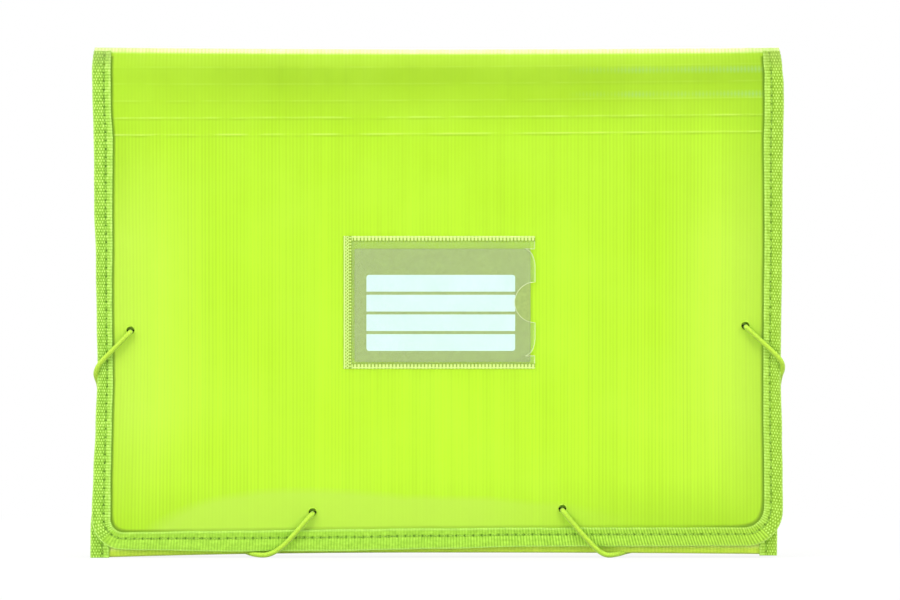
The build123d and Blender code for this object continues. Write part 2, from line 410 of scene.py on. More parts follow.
def ribbed_polypropylene(name, tones, flap=False):
    """Extruded polypropylene sheet, pressed with fine ribs. It has a satin skin, each rib painted a
    little darker in its valley as shade, glows when lit from behind, and is painted pale as a
    highlight where it is folded."""
    material, tree, place = new_material(name, RUN_MAP)
    across, run, unused = add_node(tree, "SeparateXYZ", {0: place}, None)
    colour = graded(tree, run, *((at * MM, code) for at, code in tones))
    turn = 2 * math.pi / RIB_PITCH
    inputs = {0: across, 1: turn / MM, 2: turn * SHEET_HALF}
    turns = add_node(tree, "Math", inputs, operation="MULTIPLY_ADD")
    wave = add_node(tree, "Math", {0: turns}, operation="COSINE")
    # Each rib's valley is painted darker as shade, more so along some die streaks and less in the
    # middle of the sheet.
    valley = add_node(tree, "MapRange", {0: wave, 1: -1.0, 2: 1.0, 3: 0.0, 4: 0.46})
    streaks = noise_share(tree, place, (STREAK_WIDTH, STREAK_LENGTH, 1), 2.0, 0.3, 0.7)
    worn = add_node(tree, "MapRange", {0: streaks, 3: 0.35, 4: 1.0})
    faint = band_share(tree, across, 0.0, 115.0, 0.48, 10.0, 1.0)
    wide = noise_share(tree, place, (WIDE_STREAK, STREAK_LENGTH, 1), 2.0, 0.35, 0.65, 0.25)
    mottle = noise_share(tree, place, (MOTTLE, MOTTLE, 1), 3.0, 0.35, 0.7)
    coats = [(product(tree, valley, worn, faint), "#9CC814"), (wide, "#AEDC12")]
    colour = painted(tree, colour, *coats, (product(tree, mottle, 0.18), "#D2FF48"))
    if flap:
        colour = flap_marks(tree, place, across, run, wave, colour)
    gloss = add_node(tree, "MapRange", {0: mottle, 3: 0.36, 4: 0.46})
    grain = noise_share(tree, place, (GRAIN, GRAIN, 1), 2.0)
    reliefs = ((grain, 0.15, 0.1), (streaks, 0.5, 0.05))
    return finished(material, colour, gloss, reliefs, through=0.25, ior=1.49)


def plain_polypropylene(name, code, shade, through=0.3):
    """Thin extruded polypropylene sheet without ribs. It has faint upright die lines and cloudy
    spots from cooling."""
    material, tree, place = new_material(name)
    streaks = noise_share(tree, place, (STREAK_WIDTH, STREAK_WIDTH, STREAK_LENGTH), 2.0)
    cloud = noise_share(tree, place, [MOTTLE] * 3, 3.0)
    colour = graded(tree, product(tree, streaks, cloud), (0.15, shade), (0.4, code))
    gloss = add_node(tree, "MapRange", {0: cloud, 1: 0.3, 2: 0.7, 3: 0.3, 4: 0.45})
    return finished(material, colour, gloss, [(streaks, 0.4, 0.05)], through, 1.49)


def woven_tape(name, across, dots, calm, seam_calm, light, middle, dark):
    """Woven polypropylene binding tape. Its cross yarns lie in raised rows, dark in the gaps, and
    the long yarns break each row into dots, less so inside the seam. It dips into a dark hole
    at each stitch, and its fuzz takes the shine away. calm is how far the rows are worn down
    on the left and on the right (below 0 they stand out more), and seam_calm how much more
    inside the seam."""
    material, tree, place = new_material(name, RUN_MAP)
    along, inside, unused = add_node(tree, "SeparateXYZ", {0: place}, None)
    stand = add_node(tree, "TexCoord", {}, "Object")
    stand_x, unused, stand_z = add_node(tree, "SeparateXYZ", {0: stand}, None)
    waves = []
    for value, pitch in ((along, WEAVE_PITCH), (inside, across)):
        turns = product(tree, value, math.pi / (pitch * MM))
        waves.append(add_node(tree, "Math", {0: turns}, operation="SINE"))
    rows = product(tree, waves[0], waves[0])
    seam = (STITCH_INSET + 0.1, STITCH_INSET + 0.7)
    broken = faded(tree, inside, *seam, dots, 0.1)
    yarn = add_node(tree, "Mix", {0: broken, 2: rows, 3: product(tree, *waves)})
    yarn = add_node(tree, "MapRange", {0: yarn, 1: 0.0, 2: 0.9})
    worn = faded(tree, inside, *seam, 0.0, seam_calm)
    worn = add_node(tree, "Math", {0: worn, 1: faded(tree, stand_x, 0, 110, *calm)})
    yarn = add_node(tree, "Mix", {0: worn, 2: yarn, 3: YARN_MEAN}, clamp_factor=False)
    uneven = noise_share(tree, place, (5.0, 2.0, 1), 3.0, 0.25, 0.75, 0.5)
    fuzz = noise_share(tree, place, (FUZZ, FUZZ, 1), 2.0, 0.3, 0.7, 0.4)
    tone = add_node(tree, "Math", {0: yarn, 1: uneven})
    tone = add_node(tree, "Math", {0: tone, 1: fuzz})
    colour = graded(tree, tone, (0.3, dark), (0.95, middle), (1.6, light))

    # The needle holes and the groove of the seam are painted dark as shade.
    needle = add_node(tree, "Math", {0: along, 1: STITCH_PITCH * MM, 2: 0.0}, operation="WRAP")
    spot = add_node(tree, "CombineXYZ", {0: needle, 1: inside, 2: 0.0})
    hole = (0.5 * STITCH_PITCH * MM, STITCH_INSET * MM, 0.0)
    away = add_node(tree, "VectorMath", {0: spot, 1: hole}, 1, operation="DISTANCE")
    groove = band_share(tree, inside, STITCH_INSET, 0.7, 0.4)
    inputs = {0: faded(tree, away, 0.85, 0.3, 0.0, 0.9), 1: groove}
    pulled = add_node(tree, "Math", inputs, operation="MAXIMUM")
    coats = (
        (pulled, "#4E7A0C"),
        # Painted highlights along the tape's open edge and its folded edge.
        (band_share(tree, inside, 8.5, 0.7, 0.25), "#D2F88A"),
        (band_share(tree, inside, 0.2, 0.7, 0.5), "#CCF47E"),
        (faded(tree, stand_z, 231, 243, 0.0, 0.45), "#8A9C58"),
        # Painted shade, darker towards the right.
        (faded(tree, stand_x, 60, 150, 0.0, 0.2), "#9CB414"),
    )
    colour = painted(tree, colour, *coats)
    return finished(material, colour, 0.72, [(yarn, 0.7, 0.12)], ior=1.42, Sheen_Weight=0.04)


def spun_thread(name, code, shade):
    """Twisted polyester sewing thread: a dull sheen, darker between its plies."""
    material, tree, place = new_material(name)
    plies = noise_share(tree, place, [THREAD_PLY] * 3, 1.0)
    colour = graded(tree, plies, (0.35, shade), (0.65, code))
    return finished(material, colour, 0.55, [(plies, 0.5, 0.08)])


def braided_elastic(name, code, shade):
    """Rubber cord in a braided polyester sleeve: fine crossing strands and a soft sheen, with
    painted shade on its underside. The braid is drawn coarser than the real one, so that it shows."""
    material, tree, place = new_material(name)
    inputs = {"Vector": place, "Scale": 1 / (BRAID * MM)}
    braid = add_node(tree, "TexVoronoi", inputs, "Distance")
    colour = graded(tree, braid, (0.1, code), (0.7, shade))
    # The underside of the cord is painted darker as shade.
    facing = add_node(tree, "TexCoord", {}, "Normal")
    facing = add_node(tree, "SeparateXYZ", {0: facing}, 2)
    under = add_node(tree, "MapRange", {0: facing, 1: 0.25, 2: -0.75, 3: 0.0, 4: 0.7})
    colour = painted(tree, colour, (under, "#7E9E1C"))
    strands = add_node(tree, "Math", {0: 1.0, 1: braid}, operation="SUBTRACT")
    return finished(material, colour, 0.55, [(strands, 0.5, 0.15)], Sheen_Weight=0.2)


def clear_film(name, code, alpha, roughness):
    """Calendered clear plastic film: nearly invisible flat on, with a faint haze that varies
    a little and a glossy skin."""
    material, tree, place = new_material(name)
    cloud = noise_share(tree, place, [FILM_CLOUD] * 3, 3.0, 0.3, 0.7)
    gloss = add_node(tree, "MapRange", {0: cloud, 3: roughness, 4: roughness + 0.1})
    haze = add_node(tree, "MapRange", {0: cloud, 3: alpha * 0.85, 4: alpha * 1.15})
    return finished(material, linear(code), gloss, Alpha=haze)


def welded_film(name, pale, clear):
    """Clear film melted onto the flap by a toothed tool. The pressed teeth turn pale, and the
    sheet's lime shows between them. The map's second value is the depth of the teeth."""
    material, tree, place = new_material(name, RUN_MAP)
    tooth = add_node(tree, "SeparateXYZ", {0: place}, 1)
    colour = graded(tree, tooth, (0.15 * MM, clear), (0.75 * MM, pale))
    return finished(material, colour, 0.3, Alpha=faded(tree, tooth, 0.15, 0.75, 0.5, 0.85))


def coated_paper(name, code, shade, roughness=0.5):
    """Smooth coated card: a faint fibre mottle under a dull coating."""
    material, tree, place = new_material(name)
    fibre = noise_share(tree, place, [PAPER_FIBRE] * 3, 4.0)
    colour = graded(tree, fibre, (0.3, code), (0.7, shade))
    return finished(material, colour, roughness, [(fibre, 0.1, 0.05)])


def nickel_plate(name, code):
    """Nickel-plated steel strip, crimped by a tool, with fine rolling scratches: bright, or
    painted dark as shade."""
    material, tree, place = new_material(name)
    gloss = noise_share(tree, place, (8, 0.3, 0.3), 3.0, 0.3, 0.7, 0.42, 0.22)
    return finished(material, linear(code), gloss, Metallic=1.0)


def mesh_piece(name, shape, materials, run=None, slots=None, crease=40.0, edges=None):
    """A mesh from a shape's points in millimetres and its faces. run holds each point's place on
    its flat sheet, and edges how far it is inside the flap's tape."""
    points, faces = shape
    mesh = bpy.data.meshes.new(name)
    mesh.from_pydata([Vector(point) * MM for point in points], [], faces)
    for material in materials:
        mesh.materials.append(material)
    if slots:
        mesh.polygons.foreach_set("material_index", slots)
    corners = [0] * len(mesh.loops)
    mesh.loops.foreach_get("vertex_index", corners)
    for map_name, values in ((RUN_MAP, run), (EDGE_MAP, edges)):
        if values:
            layer = mesh.uv_layers.new(name=map_name)
            places = [value * MM for corner in corners for value in values[corner]]
            layer.uv.foreach_set("vector", places)
    work = bmesh.new()
    work.from_mesh(mesh)
    bmesh.ops.recalc_face_normals(work, faces=work.faces)
    work.to_mesh(mesh)
    work.free()
    mesh.polygons.foreach_set("use_smooth", [True] * len(mesh.polygons))
    mesh.set_sharp_from_angle(angle=math.radians(crease))
    return linked(name, mesh)


def linked(name, data):
    """A new object in the scene."""
    made = bpy.data.objects.new(name, data)
    bpy.context.scene.collection.objects.link(made)
    return made


def evaluated_mesh(thing):
    """The mesh of an object with its modifiers or its curve worked out."""
    bpy.context.view_layer.update()
    evaluated = thing.evaluated_get(bpy.context.evaluated_depsgraph_get())
    return bpy.data.meshes.new_from_object(evaluated)


def joined(shapes):
    """Several shapes as one."""
    points, faces = [], []
    for more, more_faces in shapes:
        base = len(points)
        points += more
        faces += [tuple(base + corner for corner in face) for face in more_faces]
    return points, faces


def slab(outer, inner):
    """The shape of a closed sheet between two grids of points."""
    rows, columns = len(outer), len(outer[0])
    count = rows * columns
    points = [point for grid in (outer, inner) for row in grid for point in row]
    faces = []
    for row in range(rows - 1):
        for at in range(row * columns, (row + 1) * columns - 1):
            faces.append((at, at + 1, at + columns + 1, at + columns))
    faces += [tuple(count + corner for corner in face[::-1]) for face in faces]
    rim = list(range(columns))
    rim += range(2 * columns - 1, count, columns)
    rim += range(count - 2, count - columns - 1, -1)
    rim += range(count - 2 * columns, 0, -columns)
    faces += [(a, a + count, b + count, b) for a, b in zip(rim, rim[1:] + rim[:1])]
    return points, faces


def swept(rings, loop=False):
    """The shape of a tube through rings of points, closed at its ends or into a loop."""
    sides = len(rings[0])
    count = len(rings) * sides
    points = [point for ring in rings for point in ring]
    faces = []
    for base in range(0, count if loop else count - sides, sides):
        for side in range(sides):
            a, b = base + side, base + (side + 1) % sides
            faces.append((a, b, (b + sides) % count, (a + sides) % count))
    if not loop:
        faces += [tuple(range(sides))[::-1], tuple(range(count - sides, count))]
    return points, faces


def ring(middle, sideways, outward, sides):
    """Points round a middle, whose two half sizes are vectors."""
    turns = [2 * math.pi * side / sides for side in range(sides)]
    return [middle + sideways * math.cos(turn) + outward * math.sin(turn) for turn in turns]


def plate(outline, back, front):
    """The shape of a flat plate with this outline."""
    count = len(outline)
    points = [(x, back, z) for x, z in outline] + [(x, front, z) for x, z in outline]
    faces = [tuple(range(count)), tuple(range(2 * count - 1, count - 1, -1))]
    for at in range(count):
        after = (at + 1) % count
        faces.append((at, at + count, after + count, after))
    return points, faces


def rounded(low, high, top_radius, low_radius, steps=6):
    """The outline of a rectangle with round corners at its top and bottom."""
    outline = []
    corners = (
        (high[0] - top_radius, high[1] - top_radius, 0, top_radius),
        (low[0] + top_radius, high[1] - top_radius, 1, top_radius),
        (low[0] + low_radius, low[1] + low_radius, 2, low_radius),
        (high[0] - low_radius, low[1] + low_radius, 3, low_radius),
    )
    for x, z, quarter, radius in corners:
        for step in range(steps + 1):
            turn = math.pi / 2 * (quarter + step / steps)
            outline.append((x + radius * math.cos(turn), z + radius * math.sin(turn)))
    return outline


def mix(a, b, share):
    """The value that lies a share of the way from a to b."""
    return a + (b - a) * share


def held(value):
    """A value held between 0 and 1."""
    return min(1.0, max(0.0, value))


def smooth(value):
    """A share that eases in and out while a value goes from 0 to 1."""
    share = held(value)
    return share * share * (3 - 2 * share)


def bell(away, width, power=2):
    """1 in the middle of a bell curve, and little outside its width."""
    return math.exp(-((away / width) ** power))


def between(low, high, step):
    """Evenly spaced values from low to high, about a step apart."""
    count = max(1, round(abs(high - low) / step))
    return [mix(low, high, number / count) for number in range(count + 1)]


def soft_noise(*place):
    """Smooth noise, about -1 to 1."""
    return noise.noise(Vector((place + (0.0, 0.0))[:3]))


def side_of(x):
    """-1 on the left and 1 on the right."""
    return -1 if x < 0 else 1


# How far each side of the file draws in at a height: the elastics pull it in at mid-height
BOW = {
    -1: (
        (0, 0.0), (22, 0.1), (42, 0.85), (62, 1.85), (92, 2.9), (110, 2.4),
        (140, 2.05), (170, 1.2), (200, 1.0), (223, 0.3), (233, 0.2), (244, 0.95),
    ),
    1: (
        (0, 0.1), (25, -0.2), (40, -0.1), (60, 0.25), (90, 0.85), (110, 0.6), (130, 0.35),
        (160, 0.0), (185, -0.15), (205, -0.5), (218, -0.7), (226, -0.6), (234, 0.1), (244, 1.05),
    ),
}
# Under the flap the cord bites deeper into the body's soft edges
BITE = {
    -1: (
        (0, -0.7), (14, -0.6), (28, 0.3), (45, 3.1), (84, 3.8),
        (112, 2.6), (140, 2.2), (170, 1.4), (225, 0.5), (244, 0.8),
    ),
    1: (
        (0, 2.5), (22, 2.3), (45, 3.1), (86, 3.3),
        (112, 1.4), (150, 0.6), (225, 0.2), (244, 0.6),
    ),
}
# How far the open edge of the flap's tape lies from the middle, at heights on each side
OPEN = {
    -1: (
        (18, 155.87), (33, 155.87), (47, 155.57), (66, 155.17), (83, 154.77), (100, 154.97),
        (123, 155.22), (152, 154.97), (171, 155.02), (199, 154.77), (214, 155.67),
        (231, 155.82), (244, 155.57),
    ),
    1: (
        (24, 156.07), (37, 156.22), (50, 156.12), (66, 155.82), (94, 155.82), (123, 156.04),
        (152, 156.37), (180, 156.24), (199, 156.02), (210, 156.37), (231, 156.42),
        (238, 155.77), (244, 155.67),
    ),
}
# The flap's tape hangs lower on the left: its folded edge and its open edge at places across
TAPE_LOW = ((-165, 4.6), (-140, 3.7), (-100, 3.1), (-50, 3.3), (0, 4.3), (45, 5.5), (165, 5.8))
TAPE_OPEN = ((-160, 12.2), (-100, 13.0), (-50, 13.7), (0, 14.2), (45, 14.5), (160, 14.6))


def eased(table, at):
    """A value from a table of (place, value), eased between its rows."""
    for (low, start), (high, end) in zip(table, table[1:]):
        if at <= high:
            return mix(start, end, smooth((at - low) / (high - low)))
    return table[-1][1]


def bow(side, z):
    """How far the left (-1) or right (1) edge of the flap lies inside the full width."""
    return eased(BOW[side], z)


def bite(side, z):
    """How far an edge of the body under the flap lies inside the full width."""
    return eased(BITE[side], z)


def flap_open(side, z):
    """How far the open edge of the flap's tape lies from the middle."""
    return eased(OPEN[side], z) + 0.12 * soft_noise(z / 11, side * 8.3)


def body_open(side, z):
    """How far the open edge of a cover's tape lies from the middle."""
    return WINDOW_HALF - 0.7 * bite(side, z) + 0.3 * soft_noise(z / 60, side * 4.4)


def sag(x):
    """How far the top fold hangs below its ends at x."""
    return FOLD_SAG * max(0.0, 1 - (x / HALF_WIDTH) ** 2)


rib_strength = [random.uniform(0.35, 1.0) for rib in range(RIB_COUNT)]


def rib(x):
    """The height of the ribs at x. No two ribs are equally deep."""
    turns = (x + SHEET_HALF) / RIB_PITCH
    strength = rib_strength[min(RIB_COUNT - 1, int(turns))]
    return RIB_HEIGHT * strength * (1 - math.cos(2 * math.pi * turns)) / 2


def pressed(x, z):
    """How far the ribs are pressed flat at a place low on the flap: 0 to 1."""
    most = 0.0
    for middle, size in PRESSED_FLAT:
        away = math.hypot((x - middle[0]) / size[0], (z - middle[1]) / size[1])
        most = max(most, min(1.0, (1.15 - away) / 0.3))
    return most * held((100 - x) / 80)


def tilt(x, height):
    """How far the score lines lie above their middle height at x. The fold stays level."""
    return LINE_TILT * x / HALF_WIDTH if height < SCORE_LINES[0] + 1.5 else 0.0


def crease(x, z):
    """The height of the score lines at a place on the flap."""
    rise = 0.0
    for line, height in enumerate(SCORE_LINES):
        line_z = height + tilt(x, height) + 0.12 * soft_noise(x / 35, line * 7.3)
        away = abs(z - line_z) / CREASE_HALF
        if away < 1:
            uneven = 1 - CREASE_BREAK * max(0.0, soft_noise(x / 9, line * 3.1))
            rise += CREASE_HEIGHT * SCORE_DEPTHS[line] * uneven * (1 - away) ** 1.5
    return rise


def lean(z):
    """How far the bands near the fold lean out of the flap's face."""
    places = [(SCORE_LINES[-1] - 12, 0.0), *zip(SCORE_LINES[::-1], BAND_LEAN[::-1])]
    places.append((FOLD_START, 0.0))
    for (low, start), (high, end) in zip(places, places[1:]):
        if low <= z <= high:
            return mix(start, end, (z - low) / (high - low))
    return 0.0


def waviness(x, z, seed):
    """A slow wave in the sheet, as a cut sheet never lies dead flat."""
    return 0.18 * held((WINDOW_HALF - abs(x)) / 40) * soft_noise(x / 95, z / 80, seed)


def track(x, z):
    """How far the flap's sheet sinks where the card lies and slides."""
    left, right, low, high = CARD_TRACK
    inside = min(x - left, right - x, z - low, high - z)
    return TRACK_SINK * smooth(1 + inside / TRACK_FADE)


def bowed_low(x):
    """The bottom edge of a cover sheet at x."""
    return mix(SHEET_LOW_MIDDLE, SHEET_LOW[side_of(x)], (abs(x) / SHEET_HALF) ** 2.2)


def dented_low(x):
    """The bottom edge of the back cover's sheet at x."""
    return bowed_low(x) + CORD_DENT * bell(abs(x) - CORD_DENT_X, CORD_DENT_HALF, 4)


def flap_low(x):
    """The bottom edge of the flap's sheet at x, inside its tape, with its round corners."""
    radius = FLAP_CORNER[side_of(x)] - TAPE
    into = max(0.0, abs(x) - (SHEET_HALF - radius))
    return eased(TAPE_LOW, x) + TAPE + radius - math.sqrt(max(0.0, radius**2 - into**2))


def dip(y):
    """How far the top strip sinks between its two folds at depth y."""
    return SPINE_DIP * (1 - held(abs(y) / (BACK_FACE - FOLD_RADIUS)) ** 4)


def cover_sheet(face_y, outward, low_edge, upper_rows, draw, seed, folded=True, creased=False):
    """A cover sheet, ribbed on its outer face: its shape, the place of each point on the flat
    sheet, and how far inside the flap's tape it is. outward is -1 to the front and 1 to the
    back. A folded sheet goes on over its rounded fold to the middle of the top strip."""
    columns = between(-SHEET_HALF, SHEET_HALF, RIB_PITCH / RIB_SAMPLES)
    first_height = upper_rows[0]
    stations = [(share, None) for share in LOWER_ROWS]
    stations += [(None, (face_y, height, outward, 0.0, height)) for height in upper_rows]
    if folded:
        middle_y = face_y - outward * FOLD_RADIUS
        for step in range(1, FOLD_STEPS + 1):
            turn = math.pi / 2 * step / FOLD_STEPS
            across, up = outward * math.cos(turn), math.sin(turn)
            y, z = middle_y + FOLD_RADIUS * across, FOLD_START + FOLD_RADIUS * up
            stations.append((None, (y, z, across, up, FOLD_START + FOLD_RADIUS * turn)))
        along = FOLD_START + FOLD_RADIUS * math.pi / 2
        for y in between(middle_y, 0.0, SPINE_STEP)[1:]:
            stations.append((None, (y, FOLD_TOP - dip(y), 0.0, 1.0, along + abs(y - middle_y))))
    outer, inner, run, edges = [], [], [], []
    for share, station in stations:
        outer_row, inner_row = [], []
        for x in columns:
            if station is None:
                z = mix(low_edge(x), first_height + tilt(x, 0) * creased, share)
                y, across, up = face_y, outward, 0.0
                along = z if creased else mix(SHEET_LOW_MIDDLE, first_height, share)
            else:
                y, z, across, up, along = station
                if creased:
                    z += tilt(x, along)
                    along += tilt(x, along)
            side = side_of(x)
            drawn = x - side * draw(side, z) * (abs(x) / SHEET_HALF) ** 6
            if folded:
                z -= sag(x) * held((z - SAG_START) / (FOLD_TOP - SAG_START))
            base = waviness(x, along, seed) * abs(across)
            rise = base + rib(x)
            if creased:
                base += lean(along) - track(x, along)
                rise = base + rib(x) * (1 - 0.8 * pressed(x, along)) + crease(x, along)
            outer_row.append((drawn, y + across * rise, z + up * rise))
            inner_row.append((drawn, y + across * (base - SHEET), z + up * (base - SHEET)))
            run.append((x, along))
            edges.append((flap_open(side, z) - abs(drawn), z - eased(TAPE_OPEN, x)))
        outer.append(outer_row)
        inner.append(inner_row)
    return slab(outer, inner), run + run, edges + edges


# The section of a sewn tape, as (share of its width from the folded edge, height over the
# middle of the sheet). It goes up over the outer leg, round the fold and back under.
OUTER_LEG = (
    (1.0, 0.44), (1.0, 0.95), (0.985, 1.22), (0.955, 1.36), (0.92, 1.36), (0.88, 1.24),
    (0.83, 1.06), (0.76, 0.98), (0.69, 0.88), (0.635, 0.74), (0.58, 0.88), (0.50, 1.02),
    (0.38, 1.10), (0.25, 1.14), (0.14, 1.10), (0.07, 0.96), (0.02, 0.66), (0.0, 0.26),
)
INNER_LEG = (
    (0.01, -0.32), (0.05, -0.62), (0.14, -0.80), (0.30, -0.86), (0.58, -0.80), (0.635, -0.74),
    (0.69, -0.80), (0.90, -0.88), (0.97, -0.86), (0.995, -0.76), (1.0, -0.44),
)
SHEET_BED = ((0.09, -0.44), (0.05, -0.2), (0.05, 0.2), (0.09, 0.44))


class Station:
    """A place along a tape: its folded edge, its open edge, and the way its outer leg faces."""

    def __init__(self, edge, open_edge, normal):
        self.edge = Vector(edge)
        self.open_edge = Vector(open_edge)
        self.normal = Vector(normal)

    def at(self, share, height):
        """The point at a share of the tape's width and a height over the sheet's middle."""
        return self.edge.lerp(self.open_edge, share) + self.normal * height


def over_stations(side, mid_y, outward, draw, open_at):
    """Stations from the top of a cover into the fold, where its tape is cut off."""
    radius = FOLD_RADIUS - SHEET / 2
    middle_y = mid_y - outward * radius
    edge = side * (HALF_WIDTH - draw(side, FOLD_TOP))
    open_edge = side * open_at(side, FOLD_TOP)
    made = []
    for step in range(1, TAPE_TURN_STEPS + 1):
        turn = TAPE_TURN * step / TAPE_TURN_STEPS
        across, up = outward * math.cos(turn), math.sin(turn)
        y, z = middle_y + radius * across, FOLD_START + radius * up
        made.append(Station((edge, y, z), (open_edge, y, z), (0, across, up)))
    return made


def spine_stations(side):
    """Stations of the tape on one end of the top strip, from front to back."""
    edge = side * (HALF_WIDTH - bow(side, FOLD_TOP))
    made = []
    for y in between(-SPINE_TAPE_HALF, SPINE_TAPE_HALF, TAPE_STEP):
        z = FOLD_TOP - SHEET / 2 - dip(y)
        made.append(Station((edge, y, z), (side * WINDOW_HALF, y, z), (0, 0, 0.8)))
    return made


def flap_stations(step):
    """Stations from the top strip down the left side, along the bottom and up the right, and the
    range of them that lies along the bottom."""
    mid_y = FLAP_FACE + SHEET / 2
    facing = (0, -1, 0)
    rises, ends = {}, {}
    for side in (-1, 1):
        radius, open_radius = FLAP_CORNER[side], WINDOW_CORNER[side]
        end_low = eased(TAPE_LOW, side * (HALF_WIDTH - radius))
        end_open = eased(TAPE_OPEN, side * (WINDOW_HALF - open_radius))
        start = end_low + radius
        upright = []
        for z in between(start, FOLD_START, step):
            share = (z - start) / (FOLD_START - start)
            open_z = mix(end_open + open_radius, FOLD_START, share)
            edge = side * (HALF_WIDTH - bow(side, z) + 0.15 * soft_noise(z / 14, side * 5.1))
            open_edge = side * flap_open(side, open_z)
            upright.append(Station((edge, mid_y, z), (open_edge, mid_y, open_z), facing))
        edge_half = abs(upright[0].edge.x) - radius
        open_half = abs(upright[0].open_edge.x) - open_radius
        ends[side] = (edge_half, open_half)
        corner = []
        count = round(radius * math.pi / 2 / step)
        for number in range(1, count):
            turn = math.pi / 2 * number / count
            out, up = math.sin(turn), 1 - math.cos(turn)
            edge = (side * (edge_half + radius * out), mid_y, end_low + radius * up)
            open_x = side * (open_half + open_radius * out)
            corner.append(Station(edge, (open_x, mid_y, end_open + open_radius * up), facing))
        rises[side] = corner + upright + over_stations(side, mid_y, -1, bow, flap_open)
    half_corner = round(FLAP_CORNER[-1] * math.pi / 4 / step)
    bottom = []
    for share in between(-1.0, 1.0, step / HALF_WIDTH):
        edge_half, open_half = ends[side_of(share)]
        fade = min(1.0, (1 - abs(share)) * 10)
        edge_z = eased(TAPE_LOW, share * edge_half) + fade * 0.15 * soft_noise(share * 9, 1.7)
        open_z = eased(TAPE_OPEN, share * open_half) + fade * 0.2 * soft_noise(share * 12, 6.1)
        edge = (share * edge_half, mid_y, edge_z)
        bottom.append(Station(edge, (share * open_half, mid_y, open_z), facing))
    stations = rises[-1][::-1] + bottom + rises[1]
    return stations, (len(rises[-1]) - half_corner, len(stations) - len(rises[1]) + half_corner)


def cover_stations(side, face_y, outward, z_high, step, folded):
    """Stations up one side of the back or front cover, from the floor."""
    mid_y = face_y - outward * SHEET / 2
    made = []
    for z in between(COVER_TAPE_LOW[side], z_high, step):
        edge = side * (HALF_WIDTH - bite(side, z) + 0.15 * soft_noise(z / 14, side * 5.1, outward))
        open_edge = side * body_open(side, z)
        made.append(Station((edge, mid_y, z), (open_edge, mid_y, z), (0, outward, 0)))
    if folded:
        made += over_stations(side, mid_y, outward, bite, body_open)
    return made


def run_lengths(stations):
    """The distance along the middle of a tape at each station."""
    lengths = [0.0]
    for a, b in zip(stations, stations[1:]):
        lengths.append(lengths[-1] + (b.at(0.5, 0) - a.at(0.5, 0)).length)
    return lengths


def stitch_places(lengths):
    """The run lengths at which the needle went through a tape."""
    return [STITCH_PITCH * (number + 0.5) for number in range(int(lengths[-1] / STITCH_PITCH))]


def yarn_lean(station):
    """How far the cross yarns lean: the tape was pulled askew along the flap's bottom right."""
    if station.normal.y > -0.99 or station.edge.z > 30:
        return 0.0
    return 0.2 * held((station.edge.x - 20) / 90) * held((162 - station.edge.x) / 12)


def sewn_tape(name, stations, materials, bottom=(0, 0)):
    """A tape folded over the edge of a sheet and sewn down, with a dimple at each stitch. The
    second material lies along the bottom, between two stations."""
    lengths = run_lengths(stations)
    needle = stitch_places(lengths)
    section = [(*place, 1) for place in OUTER_LEG]
    section += [(*place, -1) for place in INNER_LEG]
    section += [(*place, 0) for place in SHEET_BED]
    rings, run, slots = [], [], []
    for number, (station, length) in enumerate(zip(stations, lengths)):
        nearest = needle[min(len(needle) - 1, int(length / STITCH_PITCH))]
        pull = bell(nearest - length, DIMPLE_WIDTH)
        width = (station.open_edge - station.edge).length
        points = []
        for share, height, leg in section:
            off = bell((share - STITCH_SHARE) * width, DIMPLE_WIDTH)
            sunk = DIMPLE_DEPTH * pull * off if leg else 0.0
            ripple = 0.06 * soft_noise(length / 3, share * 4, leg) if leg else 0.0
            raised = height - leg * min(sunk, abs(height) - SHEET / 2) + leg * ripple
            points.append(station.at(share, raised))
            aside = share * TAPE_WIDTH - STITCH_INSET
            run.append((length + aside * yarn_lean(station), share * TAPE_WIDTH))
        rings.append(points)
        slots += [int(bottom[0] <= number < bottom[1])] * len(section)
    slots = slots[: -len(section)] + [0, 0]
    return mesh_piece(name, swept(rings), materials, run, slots)


def station_at(stations, lengths, length):
    """The station nearest to a distance along a tape."""
    after = min(len(lengths) - 1, max(1, bisect_left(lengths, length)))
    return stations[after - (length - lengths[after - 1] < lengths[after] - length)]


def stitching(name, stations):
    """Lock stitches on both legs of a tape, each a short bowed thread between two needle holes."""
    lengths = run_lengths(stations)
    needle = stitch_places(lengths)
    threads = []
    for leg, lift in ((1, 0.80), (-1, -0.76)):
        for start, end in zip(needle, needle[1:]):
            rings = []
            for share in between(0.0, 1.0, 1 / (THREAD_RINGS - 1)):
                station = station_at(stations, lengths, mix(start + 0.25, end - 0.25, share))
                rise = math.sin(math.pi * share)
                middle = station.at(STITCH_SHARE, lift + leg * (0.14 * rise - 0.28 * (1 - rise)))
                sideways = (station.open_edge - station.edge).normalized()
                size = STITCH_RADIUS * (0.55 + 0.45 * rise)
                rings.append(ring(middle, sideways * size, station.normal * size, THREAD_SIDES))
            threads.append(swept(rings))
    return mesh_piece(name, joined(threads), [thread], crease=80.0)


# Colours of the lime sheet at heights up the flap, as the photograph shows its bands
# Under the fold the bands are painted shade, darkest where nothing lies behind the sheet, and lighter
# again near the fold as a painted highlight where they lean up to the light. The fold itself is
# painted pale as a highlight.
FLAP_TONES = (
    (0.0, "#C6F424"), (60.0, "#C9F724"), (150.0, "#C4F422"), (201.5, "#BFEF22"),
    (204.5, "#BBEB20"), (209.5, "#B9E920"), (212.5, "#B7E61F"), (217.5, "#B3E11C"),
    (220.5, "#AEDC1A"), (225.5, "#AAD818"), (228.5, "#A5D216"), (233.6, "#A8D51C"),
    (236.2, "#B4DE30"), (241.3, "#BCE63C"), (241.8, "#F4FBB0"), (244.0, "#F8FCC4"),
    (247.0, "#E4F48C"), (250.0, "#C0E830"), (256.0, "#B8E426"),
)
# The back cover is painted pale as a highlight over its fold, and is darker at its bottom edge.
COVER_TONES = (
    (0.0, "#A6C83C"), (3.4, "#BEEA28"), (239.0, "#BEEA2C"), (240.9, "#E8F690"),
    (244.0, "#ECF8A0"), (247.0, "#DCF078"), (250.0, "#C0E830"), (256.0, "#B8E426"),
)
